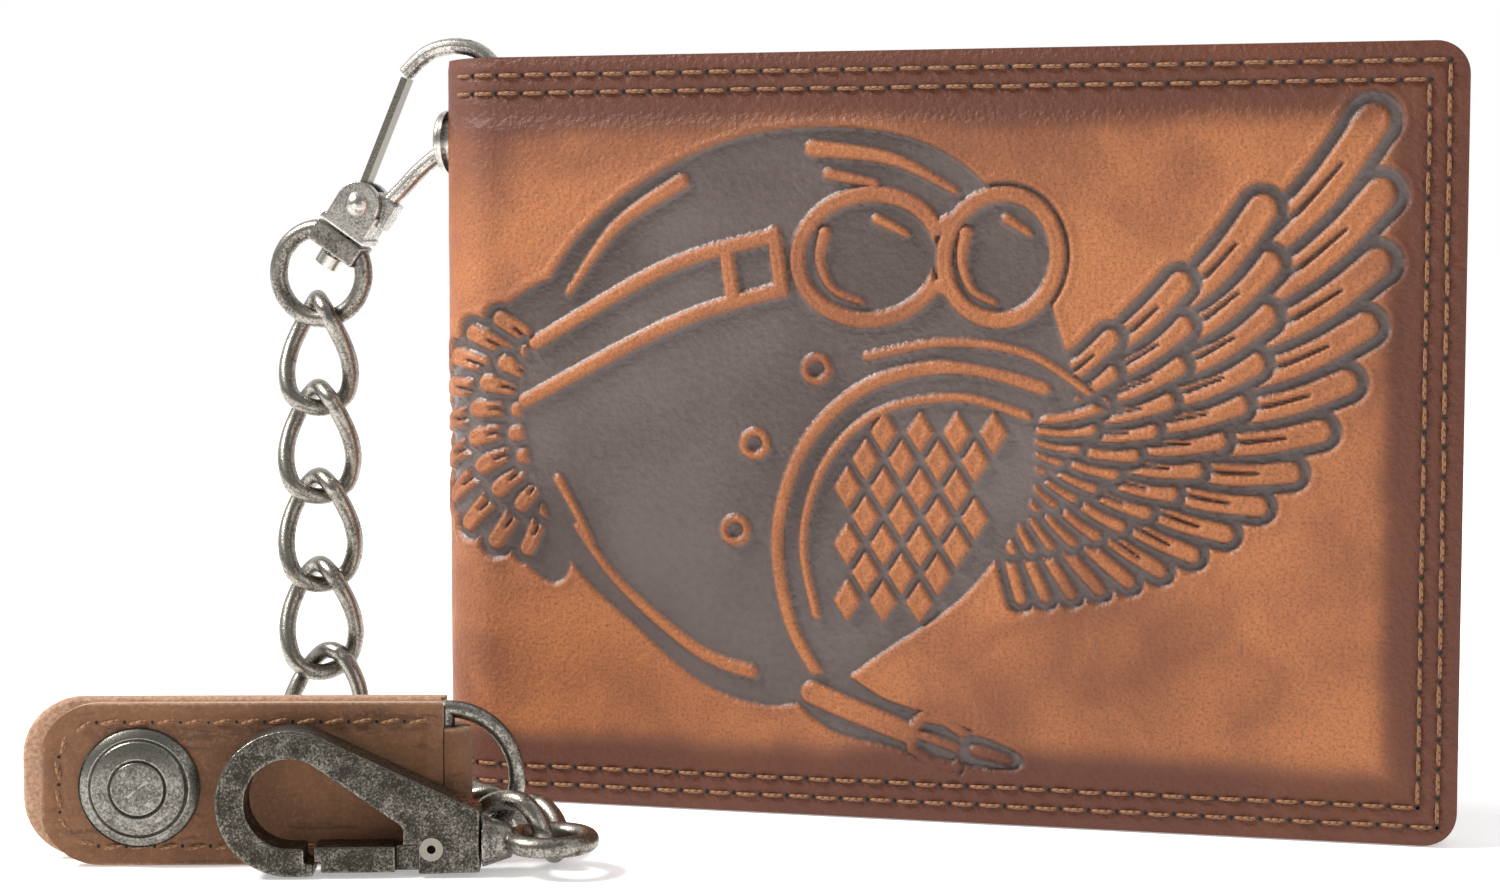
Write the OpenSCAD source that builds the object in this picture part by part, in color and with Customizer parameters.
// Bifold chain wallet standing on its long edge, a little open, with a small clasp
// through the eyelet in its spine, a curb chain, and a belt fob with a large clasp.
// +X runs along the front cover to its free edge, +Y away from the front, +Z up.

/* [Wallet] */
// Length of the closed wallet, from the spine to the free edges
wallet_l = 130; // [110:1:140]
// Height of the wallet, the length of its spine
wallet_h = 96; // [85:1:110]
// Thickness of the outer leather
leather_t = 1.6; // [1.2:0.1:2]
// Distance between the mid-surfaces of the two covers at the spine
spine_w = 17; // [16:0.5:20]
// Angle that the back cover stands open
rest_open = 24; // [12:1:30]
// Radius of the free corners
corner_r = 4; // [2:0.5:8]

/* [Card pockets] */
// Number of stepped card pockets
pocket_count = 3; // [2:1:3]
// Height of the lowest pocket
pocket_low = 52; // [40:1:60]
// Step from one pocket's mouth to the next
pocket_step = 13; // [8:1:14]
// Thickness of each pocket sheet
pocket_t = 0.9; // [0.6:0.1:1]

/* [Eyelet] */
// Height of the eyelet's centre
eyelet_z = 85.6; // [80:0.2:88]
// Radius of the eyelet's hole
eyelet_r = 2.8; // [2.6:0.1:3.2]
// Radius of the eyelet's flange
flange_r = 4.2; // [3.8:0.1:5]

/* [Chain] */
// Length of a chain link over its ends
link_l = 17.2; // [16:0.1:18]
// Width of a chain link
link_w = 12; // [10:0.1:12.5]
// Wire thickness of the chain and its rings
wire_d = 2.4; // [2:0.1:2.6]
// Twist of each end of a link
twist = 45; // [35:1:50]

/* [Belt fob] */
// Length of the fob's front strap
fob_l = 50; // [44:1:56]
// Height of the strap
fob_h = 19; // [16:0.5:22]
// Thickness of each strap
strap_t = 2; // [1.6:0.1:2.4]
// Radius of the D-ring's bow
dring_r = 8.2; // [7.5:0.1:9]
// Diameter of the snap's cap
snap_d = 14; // [12:0.5:15]

/* [Large clasp] */
// Length of the clasp's body without its swivel
clasp_l = 30; // [28:0.5:32]
// Thickness of the clasp's body
clasp_t = 5; // [4:0.2:5.2]
// Outer radius of the round end
clasp_r = 8.4; // [8:0.1:9]
// Width of the clasp's bar
bar_w = 3.3; // [2.8:0.1:3.6]

/* [Hidden] */

leather = "sienna";
dark_leather = "saddlebrown";
cloth = "dimgray";
metal = "slategray";
fob_leather = "peru";

gap = 0.15;
fold_x = -wallet_l / 2 + spine_w / 2 + leather_t / 2;
edge_x = wallet_l / 2;
half_t = leather_t / 2;
spine_y = spine_w / 2;
spine_r = spine_w / 2 + half_t;
crest_x = fold_x - spine_r;
cover_start = half_t + 0.3;
// The eyelet's flat washer bears on the curved inside of the spine at its rim.
washer_r = 4;
washer_x = fold_x - sqrt(pow(spine_r - leather_t, 2) - washer_r * washer_r) + 0.05;

// Layers behind each cover, measured from the cover's mid-surface inwards.
lining_t = 0.5;
lining_y = half_t;
bill_y = lining_y + lining_t;
bill_gap = 1.2;
panel_y = bill_y + bill_gap;
panel_t = 1;
pocket_y = panel_y + panel_t;
inner_start = 6;
seam_w = 3;
cover_l = edge_x - fold_x;

// Coin pouch on the back panel, measured along the cover from the fold.
coin_x = 22;
coin_l = 86;
coin_h = 62;
coin_d = 4;
coin_wall = 0.8;
coin_flap_h = 30;
coin_snap_r = 5;
coin_snap_z = 7;
flap_t = 0.9;
flap_top = coin_h + 10;
flap_y = -pocket_y - coin_d - 0.3;
snap_z0 = flap_top - coin_flap_h + coin_snap_z;

// Clasp and chain run in the middle of the spine.
ring_r = 6.1;
rivet_x = -77.5;
rivet_z = 77.4;
clasp_angle = 56;
ring_s = 11;
ring_x = rivet_x - ring_s * cos(clasp_angle);
ring_z = rivet_z - ring_s * sin(clasp_angle);
hook_r = 1.1;
gate_w = 2.2;
gate_lean = 23.4;
// Middle line of the hook, in X and Z, from the rivet block to the nose.
hook_path = [[-74.5, 77.2], [-72.2, 79.2], [-69.6, 81.8], [-66.6, 84.1], [-64, 85.6],
    [-61.2, 87], [-58.9, 89.2], [-58.1, 92.4], [-58.9, 95.4], [-61.3, 97.6], [-64.8, 98.2],
    [-68.4, 97.2], [-71.3, 94.6]];
chain_x = -84.15;
link_gap = 0.42;
pitch = link_l - 2 * wire_d - link_gap;
// Contact point between the ring and the first link, then one for each link's end.
hang_z = ring_z - ring_r + wire_d / 2 + link_gap / 2;
rest_z = 5.7;
drop_z = hang_z - 4 * pitch;
drop_run = sqrt(pitch * pitch - pow(drop_z - rest_z, 2));
// Headings of the links that lie on the table, from the first that leans to the last.
headings = [-60, -64, -44, -24, -26, -55];
heads_z = [rest_z, 3.9, 3.7, 3.8, 4.2, 4.5];

// Turn of each link about its own length: a lying link is square to its heading, the last
// two turned a little further towards the D-ring. Then the tilt of each link's plane.
extra_roll = [0, 0, 0, 5, 30];
rolls = concat([-15, -5, 0, 0, 10], [for (i = [1:5]) headings[i] + 90 + extra_roll[i - 1]]);
tilts = [0, 0, 0, 0, 0, 5, 0, 0, 8, 22];

// Belt fob: its frame starts at the front lower corner of its right end.
fob_at = [-46.35, -37, 0];
fob_turn = 15;
strap_gap = 2.2;
fold_r = strap_t + strap_gap / 2;
bar_u = -fold_r;
dring_z = 9.6;
dring_turn = 18;
dring_wire = 2;
snap_u = -38.4;
snap_z = 9.2;
back_extra = 3;

// Large clasp: its frame starts on the table where the swivel leaves the body.
clasp_at = [-44.05, -40.2, 0];
clasp_turn = 16.5;
axis_z = 3.6;
bow_u = -clasp_l + clasp_r;
large_rivet_u = -5.5;
large_rivet_z = 3.2;
gate_start_u = -19;
gate_h = 3;
slot_end_u = -2.8;
slot_top_z = 6.6;
leaf_r = 3.2;
leaf_t = 0.3;
eye_r = 4.4;
neck_l = 3.6;

// ---- helpers ----

function unit(v) = v / norm(v);
function rest_point(i) = i == 0
    ? [chain_x, spine_y, drop_z] + concat(drop_run * heading(headings[0]), rest_z - drop_z)
    : rest_point(i - 1) + step(i);
function heading(a) = [cos(a), sin(a)];
function step(i) = let (dz = heads_z[i] - heads_z[i - 1])
    concat(sqrt(pitch * pitch - dz * dz) * heading(headings[i]), dz);
function contact(i) = i < 5 ? [chain_x, spine_y, hang_z - i * pitch] : rest_point(i - 5);

// Closed or open tube around a list of points, with a side direction for each point.
module tube(points, sides, radius, facets, closed) {
    n = len(points);
    rings = [for (i = [0:n - 1])
        let (before = points[closed ? (i + n - 1) % n : max(i - 1, 0)],
            after = points[closed ? (i + 1) % n : min(i + 1, n - 1)],
            t = unit(after - before),
            s = unit(sides[i] - (sides[i] * t) * t),
            b = cross(t, s))
        for (k = [0:facets - 1])
            let (a = 360 * k / facets) points[i] + radius * (cos(a) * s + sin(a) * b)];
    last = closed ? n - 1 : n - 2;
    walls = [for (i = [0:last]) for (k = [0:facets - 1])
        let (j = (i + 1) % n, m = (k + 1) % facets)
        [i * facets + k, j * facets + k, j * facets + m, i * facets + m]];
    caps = closed ? [] : [
        [for (k = [0:facets - 1]) k],
        [for (k = [facets - 1:-1:0]) (n - 1) * facets + k]];
    polyhedron(points = rings, faces = concat(walls, caps), convexity = 6);
}

// Smooth curve through hand-placed points.
function curve(p, steps) = concat([for (i = [0:len(p) - 2]) for (k = [0:steps - 1])
    let (a = p[max(i - 1, 0)], b = p[i], c = p[i + 1], d = p[min(i + 2, len(p) - 1)], t = k / steps)
    0.5 * (2 * b + (c - a) * t + (2 * a - 5 * b + 4 * c - d) * t * t
        + (3 * b - a - 3 * c + d) * t * t * t)], [p[len(p) - 1]]);

// Oval wire link standing along Z in the XZ plane, its ends twisted against each other.
module twisted_link() {
    n = 28;
    half_l = (link_l - wire_d) / 2;
    half_w = (link_w - wire_d) / 2;
    straight = half_l - half_w;
    flat = [for (i = [0:n - 1]) let (a = 360 * i / n) [half_w * cos(a),
        half_w * sin(a) + straight * max(-1, min(1, 1.6 * sin(a)))]];
    turn = [for (q = flat) -twist * q[1] / half_l];
    points = [for (i = [0:n - 1]) [flat[i][0] * cos(turn[i]), flat[i][0] * sin(turn[i]), flat[i][1]]];
    sides = [for (i = [0:n - 1]) [-sin(turn[i]), cos(turn[i]), 0]];
    tube(points, sides, wire_d / 2, 8, true);
}

// Link i, set between its two contact points and rolled to its heading.
module placed_link(i) {
    a = contact(i - 1);
    b = contact(i);
    up = unit(a - b);
    roll = rolls[i - 1];
    flat = [cos(roll) * cos(tilts[i - 1]), sin(roll) * cos(tilts[i - 1]), -sin(tilts[i - 1])];
    side = unit(flat - (flat * up) * up);
    y_dir = cross(up, side);
    mid = (a + b) / 2;
    color(metal)
        multmatrix([[side[0], y_dir[0], up[0], mid[0]], [side[1], y_dir[1], up[1], mid[1]],
            [side[2], y_dir[2], up[2], mid[2]]])
            twisted_link();
}

// Upright sheet from x0 to x1 and y0 to y1, with rounded corners at its x1 end.
module sheet(x0, x1, z0, z1, y0, y1, r) {
    translate([0, y1, 0]) rotate([90, 0, 0]) linear_extrude(y1 - y0) {
        translate([x0, z0]) square([x1 - x0 - r, z1 - z0]);
        translate([x1 - r - 1, z0 + r]) square([r + 1, z1 - z0 - 2 * r]);
        for (z = [z0 + r, z1 - r]) translate([x1 - r, z]) circle(r, $fn = 48);
    }
}

// Seam strip around the bottom, the fold side and the free edge of a cover.
module seam_strip(x0, x1, y0, y1) {
    difference() {
        sheet(x0, x1, 0.6, wallet_h - 0.8, y0, y1, corner_r);
        sheet(x0 + seam_w, x1 - seam_w, 0.6 + seam_w, wallet_h + 1, y0 - 1, y1 + 1, 0.5);
    }
}

// The back half is built flat along +X from the rear fold and turned open.
module back_half() {
    translate([fold_x, spine_w, 0]) rotate([0, 0, rest_open]) children();
}

// Half pipe around the middle of the spine, open towards the covers.
module half_pipe(r0, r1, z0, z1, cut_x) {
    translate([fold_x, spine_y, z0]) difference() {
        cylinder(r = r1, h = z1 - z0, $fn = 96);
        translate([0, 0, -1]) cylinder(r = r0, h = wallet_h + 2, $fn = 96);
        translate([cut_x, -wallet_h / 2, -1]) cube([wallet_h, wallet_h, wallet_h + 2]);
    }
}

module eyelet_hole(r) {
    translate([crest_x - 5, spine_y, eyelet_z]) rotate([0, 90, 0]) cylinder(r = r, h = 12, $fn = 64);
}

// ---- front cover ----

module front_cover_leather() {
    color(leather) sheet(fold_x + cover_start, edge_x, 0, wallet_h, -half_t, half_t, corner_r);
}
module front_cover_lining() {
    color(cloth) sheet(fold_x + inner_start, edge_x - 0.6, 0.6, wallet_h - 0.6,
        lining_y, bill_y, corner_r);
}
module front_seam_welt() {
    color(dark_leather) seam_strip(fold_x + inner_start, edge_x - 0.6, bill_y, panel_y);
}
module front_inner_panel() {
    color(dark_leather) sheet(fold_x + inner_start, edge_x - 0.4, 0.4, wallet_h - 3,
        panel_y, pocket_y, corner_r);
}
module card_pocket(i) {
    y0 = pocket_y + (pocket_count - 1 - i) * pocket_t;
    color(dark_leather) sheet(fold_x + 8, edge_x - 0.8, 0.8, pocket_low + i * pocket_step,
        y0, y0 + pocket_t, 2);
}
module card_pocket_low() { card_pocket(0); }
module card_pocket_mid() { card_pocket(1); }
module card_pocket_high() { card_pocket(2); }

// ---- spine ----

module spine_leather() {
    color(leather) difference() {
        union() {
            half_pipe(spine_r - leather_t, spine_r, 0, wallet_h, 0);
            for (y = [0, spine_w]) translate([fold_x, y, 0])
                cylinder(r = half_t, h = wallet_h, $fn = 32);
        }
        eyelet_hole(eyelet_r + 0.5);
    }
}
module spine_lining() {
    r1 = spine_r - leather_t;
    color(cloth) difference() {
        half_pipe(r1 - 0.6, r1, 0.6, wallet_h - 0.6, -1.5);
        eyelet_hole(washer_r + 0.2);
    }
}
module eyelet_barrel() {
    color(metal) translate([crest_x - 0.5, spine_y, eyelet_z]) rotate([0, 90, 0])
        difference() {
            union() {
                cylinder(r = eyelet_r + 0.45, h = washer_x + 0.7 - crest_x, $fn = 64);
                rotate_extrude($fn = 64) translate([eyelet_r + 0.7, -0.12]) circle(0.6, $fn = 32);
                difference() {
                    cylinder(r = flange_r, h = 0.5, $fn = 64);
                    translate([0, 0, -1]) cylinder(r = eyelet_r + 0.4, h = 3, $fn = 64);
                }
            }
            translate([0, 0, -2]) cylinder(r = eyelet_r, h = 8, $fn = 64);
        }
}
module eyelet_washer() {
    color(metal) translate([washer_x, spine_y, eyelet_z]) rotate([0, 90, 0])
        difference() {
            cylinder(r = washer_r, h = 0.4, $fn = 64);
            translate([0, 0, -1]) cylinder(r = eyelet_r + 0.5, h = 3, $fn = 64);
        }
}

// ---- back cover ----

module back_cover_leather() {
    color(leather) back_half() sheet(cover_start, cover_l, 0, wallet_h, -half_t, half_t, corner_r);
}
module back_cover_lining() {
    color(cloth) back_half() sheet(inner_start, cover_l - 0.6, 0.6, wallet_h - 0.6,
        -bill_y, -lining_y, corner_r);
}
module back_seam_welt() {
    color(dark_leather) back_half() seam_strip(inner_start, cover_l - 0.6, -panel_y, -bill_y);
}
module back_inner_panel() {
    color(dark_leather) back_half() sheet(inner_start, cover_l - 0.4, 0.4, wallet_h - 3,
        -pocket_y, -panel_y, corner_r);
}
module coin_pouch_gusset() {
    color(dark_leather) back_half() difference() {
        sheet(coin_x, coin_x + coin_l, 3, 3 + coin_h, -pocket_y - coin_d + coin_wall, -pocket_y, 3);
        sheet(coin_x + 1.2, coin_x + coin_l - 1.2, 4.2, 4 + coin_h + 9,
            -pocket_y - coin_d - 1, -pocket_y + 1, 2);
    }
}
module coin_pouch_front() {
    color(dark_leather) back_half() sheet(coin_x, coin_x + coin_l, 3, coin_h - 4,
        -pocket_y - coin_d, -pocket_y - coin_d + coin_wall, 3);
}
// The flap hangs from a stitched line above the pouch and closes down over it.
module coin_flap() {
    color(leather) back_half() {
        sheet(coin_x + 1, coin_x + coin_l - 1, flap_top - coin_flap_h, flap_top,
            flap_y - flap_t, flap_y, 3);
        translate([coin_x + 1, flap_y - flap_t / 2, flap_top]) rotate([0, 90, 0])
            cylinder(r = flap_t / 2, h = coin_l - 5, $fn = 32);
    }
}
module coin_snap(y0, y1, r) {
    back_half() translate([coin_x + coin_l / 2, y0, snap_z0]) rotate([-90, 0, 0])
        cylinder(r = r, h = y1 - y0, $fn = 48);
}
module coin_snap_cap() {
    color(metal) coin_snap(flap_y - flap_t - 0.5, flap_y - flap_t, coin_snap_r);
}
module coin_snap_stud() {
    color(metal) coin_snap(flap_y + 0.02, flap_y + 0.3, 3);
}

// ---- small clasp ----

// Frame of the clasp: Z along its axis from the ring to the hook, Y across.
module clasp_frame() {
    translate([rivet_x, spine_y, rivet_z]) rotate([0, 90 - clasp_angle, 0]) children();
}
module small_clasp_body() {
    pts = curve([for (q = hook_path) [q[0], spine_y, q[1]]], 3);
    color(metal) {
        difference() {
            tube(pts, [for (q = pts) [0, 1, 0]], hook_r, 10, false);
            clasp_frame() translate([0, -1.4, 0]) rotate([-90, 0, 0]) cylinder(r = 3.4, h = 2.8, $fn = 48);
        }
        clasp_frame() difference() {
            union() {
                rotate([90, 0, 0]) translate([0, 0, -2.3]) cylinder(r = 3.1, h = 4.6, $fn = 48);
                translate([-3.1, -2.3, -3.9]) cube([6.6, 4.6, 3.9]);
                translate([-3.6, -2.3, -4.2]) cube([7.4, 4.6, 0.9]);
                translate([1.2, -hook_r, -1.2]) cube([3.4, 2 * hook_r, 4]);
            }
            rotate([90, 0, 0]) translate([0, 0, -1.2]) cylinder(r = 2.1, h = 2.4, $fn = 40);
            translate([-5, -1.2, -3]) cube([6.2, 2.4, 9]);
            rotate([90, 0, 0]) translate([0, 0, -4]) cylinder(r = 1.02, h = 8, $fn = 32);
            translate([0, 0, -6]) cylinder(r = 1.1, h = 4, $fn = 32);
        }
    }
}
module small_clasp_rivet() {
    color(metal) clasp_frame() rotate([90, 0, 0]) {
        translate([0, 0, -2.3]) cylinder(r = 0.97, h = 4.6, $fn = 32);
        for (s = [-1, 1]) translate([0, 0, s * 2.3]) intersection() {
            translate([0, 0, -s * 1.05]) sphere(1.95, $fn = 48);
            translate([-3, -3, s > 0 ? 0 : -2]) cube([6, 6, 2]);
        }
    }
}
module small_clasp_post() {
    color(metal) clasp_frame() {
        translate([0, 0, -9.2]) cylinder(r = 1.05, h = 6.6, $fn = 32);
        translate([0, 0, -9.6]) cylinder(r = 1.7, h = 1.6, $fn = 32);
    }
}
module small_clasp_gate() {
    color(metal) difference() {
        union() {
            clasp_frame() rotate([90, 0, 0]) translate([0, 0, -gate_w / 2])
                cylinder(r = 1.9, h = gate_w, $fn = 40);
            translate([rivet_x, spine_y - gate_w / 2, rivet_z]) rotate([0, gate_lean, 0])
                translate([-1.2, 0, 0]) cube([0.95, gate_w, 17.85]);
        }
        clasp_frame() rotate([90, 0, 0]) translate([0, 0, -4]) cylinder(r = 1.03, h = 8, $fn = 32);
    }
}
module small_swivel_ring() {
    color(metal) difference() {
        union() {
            translate([ring_x, spine_y, ring_z]) rotate([90, 0, 0])
                rotate_extrude($fn = 96) translate([ring_r, 0]) circle(wire_d / 2, $fn = 32);
            clasp_frame() translate([-3.7, -2, -7.6]) cube([7.4, 4, 3]);
        }
        clasp_frame() translate([0, 0, -12]) cylinder(r = 1.12, h = 12, $fn = 32);
        clasp_frame() translate([-2.4, -3, -10.5]) cube([4.8, 6, 2.85]);
        clasp_frame() translate([-6, -3, -4.6]) cube([12, 6, 4]);
    }
}

// ---- chain ----

module chain_link_1() { placed_link(1); }
module chain_link_2() { placed_link(2); }
module chain_link_3() { placed_link(3); }
module chain_link_4() { placed_link(4); }
module chain_link_5() { placed_link(5); }
module chain_link_6() { placed_link(6); }
module chain_link_7() { placed_link(7); }
module chain_link_8() { placed_link(8); }
module chain_link_9() { placed_link(9); }
module chain_link_10() { placed_link(10); }

// ---- belt fob ----

module fob_frame() {
    translate(fob_at) rotate([0, 0, fob_turn]) children();
}
// Strap with a round left end and small right corners.
module strap(left, right, y0, y1) {
    r = fob_h / 2 - 2.5;
    translate([0, y1, 0]) rotate([90, 0, 0]) linear_extrude(y1 - y0) {
        for (z = [r, fob_h - r]) translate([left + r, z]) circle(r, $fn = 64);
        translate([left, r]) square([r, fob_h - 2 * r]);
        translate([left + r, 0]) square([right - left - r, fob_h]);
    }
}
module d_ring() {
    at = [bar_u, fold_r, dring_z];
    color(metal) fob_frame() translate(at) {
        rotate([0, 0, dring_turn - fob_turn]) {
            rotate([90, 0, 0]) rotate([0, 0, -90]) rotate_extrude(angle = 180, $fn = 96)
                translate([dring_r, 0]) circle(dring_wire / 2, $fn = 32);
            translate([0, 0, -dring_r]) cylinder(r = dring_wire / 2, h = 2 * dring_r, $fn = 32);
            for (z = [-dring_r, dring_r]) translate([0, 0, z]) sphere(dring_wire / 2, $fn = 32);
        }
    }
}
module fob_front_strap() {
    color(fob_leather) fob_frame() strap(-fob_l, bar_u - gap, 0, strap_t);
}
module fob_back_strap() {
    color(fob_leather) fob_frame() strap(-fob_l - back_extra, bar_u - gap,
        strap_t + strap_gap, 2 * strap_t + strap_gap);
}
module fob_fold() {
    low = dring_z - dring_r + 2;
    high = dring_z + dring_r - 2;
    color(fob_leather) fob_frame() translate([bar_u, fold_r, low]) difference() {
        cylinder(r = fold_r, h = high - low, $fn = 64);
        translate([0, 0, -1]) cylinder(r = strap_gap / 2, h = fob_h + 2, $fn = 64);
        translate([-20, -10, -1]) cube([20, 20, fob_h + 2]);
    }
}
module fob_snap_cap() {
    h = 1.6;
    r = (snap_d * snap_d / 4 + h * h) / (2 * h);
    color(metal) fob_frame() translate([snap_u, 0, snap_z]) rotate([90, 0, 0])
        intersection() {
            translate([0, 0, h - r]) sphere(r, $fn = 128);
            cylinder(r = snap_d / 2, h = h + 1, $fn = 96);
        }
}
module fob_snap_socket() {
    color(metal) fob_frame() translate([snap_u, strap_t, snap_z]) rotate([-90, 0, 0])
        difference() {
            cylinder(r = 4, h = 1.3, $fn = 64);
            translate([0, 0, 0.2]) cylinder(r = 2.1, h = 3, $fn = 48);
        }
}
module fob_snap_stud() {
    y1 = 2 * strap_t + strap_gap;
    color(metal) fob_frame() translate([snap_u, 0, snap_z]) rotate([-90, 0, 0]) {
        translate([0, 0, strap_t + 1.6]) cylinder(r = 3.6, h = strap_gap - 1.6, $fn = 64);
        translate([0, 0, strap_t + 0.5]) cylinder(r = 1.9, h = 1.4, $fn = 48);
        translate([0, 0, y1]) cylinder(r = 3.8, h = 0.6, $fn = 64);
    }
}

// ---- large clasp ----

module large_frame() {
    translate(clasp_at) rotate([0, 0, clasp_turn]) children();
}
// Upright plate of the given thickness, drawn in the clasp's own plane.
module clasp_plate(t) {
    translate([0, t / 2, 0]) rotate([90, 0, 0]) linear_extrude(t) children();
}
module clasp_outline() {
    hull() {
        translate([bow_u, clasp_r + 0.1]) circle(clasp_r, $fn = 96);
        translate([-3, 0.4]) square([3, 7.2]);
        translate([bow_u, 0.1]) square([1, 1]);
    }
}
module clasp_window() {
    hull() {
        translate([bow_u, clasp_r + 0.1]) circle(clasp_r - bar_w, $fn = 96);
        for (z = [1.2, 2.2]) translate([-9.6, gate_h + z]) circle(0.9, $fn = 24);
    }
}
module large_clasp_body() {
    color(metal) large_frame() difference() {
        clasp_plate(clasp_t) difference() {
            clasp_outline();
            clasp_window();
            translate([gate_start_u, -1]) square([12, gate_h + 1.7]);
            translate([gate_start_u - 1, 1.6]) square([2, gate_h - 0.1]);
        }
        translate([-9.6, -1.35, -1]) cube([slot_end_u + 9.6, 2.7, slot_top_z + 1]);
        translate([-3.6, 0, axis_z]) rotate([0, 90, 0]) cylinder(r = 2, h = 1.4, $fn = 40);
        translate([-4, 0, axis_z]) rotate([0, 90, 0]) cylinder(r = 1.35, h = 8, $fn = 40);
        translate([large_rivet_u, -5, large_rivet_z]) rotate([-90, 0, 0])
            cylinder(r = 1.02, h = 10, $fn = 40);
    }
}
module large_clasp_rivet() {
    color(metal) large_frame() translate([large_rivet_u, 0, large_rivet_z]) rotate([90, 0, 0])
        difference() {
            union() {
                translate([0, 0, -clasp_t / 2]) cylinder(r = 0.98, h = clasp_t, $fn = 40);
                for (s = [-1, 1]) translate([0, 0, s * (clasp_t / 2 + 0.1) - 0.1])
                    cylinder(r = 1.35, h = 0.2, $fn = 40);
            }
            translate([0, 0, -4]) cylinder(r = 0.5, h = 8, $fn = 32);
        }
}
module large_clasp_gate() {
    color(metal) large_frame() difference() {
        union() {
            clasp_plate(clasp_t - 0.4) difference() {
                translate([gate_start_u + gap, 0.5]) square([9.2, gate_h]);
                translate([gate_start_u - 1, 0]) square([1.9, 1.8]);
            }
            clasp_plate(gate_w) translate([-10, 0.5]) square([5, gate_h]);
            clasp_plate(gate_w) translate([large_rivet_u, large_rivet_z]) circle(1.9, $fn = 40);
        }
        translate([large_rivet_u, -5, large_rivet_z]) rotate([-90, 0, 0])
            cylinder(r = 1.03, h = 10, $fn = 40);
    }
}
// Bowed leaf spring between the roof of the slot and the gate's round end.
module large_clasp_spring() {
    color(metal) large_frame() clasp_plate(gate_w) difference() {
        translate([large_rivet_u, slot_top_z - 1.25 + leaf_r]) circle(leaf_r, $fn = 96);
        translate([large_rivet_u, slot_top_z - 1.25 + leaf_r]) circle(leaf_r - leaf_t, $fn = 96);
        translate([large_rivet_u - leaf_r, slot_top_z - 0.05]) square([2 * leaf_r, 2 * leaf_r]);
    }
}
module large_clasp_eye() {
    u0 = neck_l + eye_r;
    color(metal) large_frame() translate([0, 0, axis_z]) {
        translate([u0, 0, 0]) rotate_extrude($fn = 96) translate([eye_r, 0]) circle(wire_d / 2, $fn = 32);
        rotate([0, 90, 0]) {
            translate([0, 0, 0.2]) cylinder(r1 = 3, r2 = 1.9, h = neck_l - 0.2, $fn = 64);
            translate([0, 0, -2.6]) cylinder(r = 1.3, h = 3, $fn = 40);
            translate([0, 0, -3.4]) cylinder(r = 1.8, h = 0.9, $fn = 40);
        }
    }
}

front_cover_leather();
front_cover_lining();
front_seam_welt();
front_inner_panel();
card_pocket_low();
card_pocket_mid();
card_pocket_high();
spine_leather();
spine_lining();
eyelet_barrel();
eyelet_washer();
back_cover_leather();
back_cover_lining();
back_seam_welt();
back_inner_panel();
coin_pouch_gusset();
coin_pouch_front();
coin_flap();
coin_snap_cap();
coin_snap_stud();
small_clasp_body();
small_clasp_rivet();
small_clasp_post();
small_clasp_gate();
small_swivel_ring();
chain_link_1();
chain_link_2();
chain_link_3();
chain_link_4();
chain_link_5();
chain_link_6();
chain_link_7();
chain_link_8();
chain_link_9();
chain_link_10();
d_ring();
fob_front_strap();
fob_snap_cap();
fob_snap_socket();
fob_fold();
fob_back_strap();
fob_snap_stud();
large_clasp_body();
large_clasp_rivet();
large_clasp_gate();
large_clasp_spring();
large_clasp_eye();
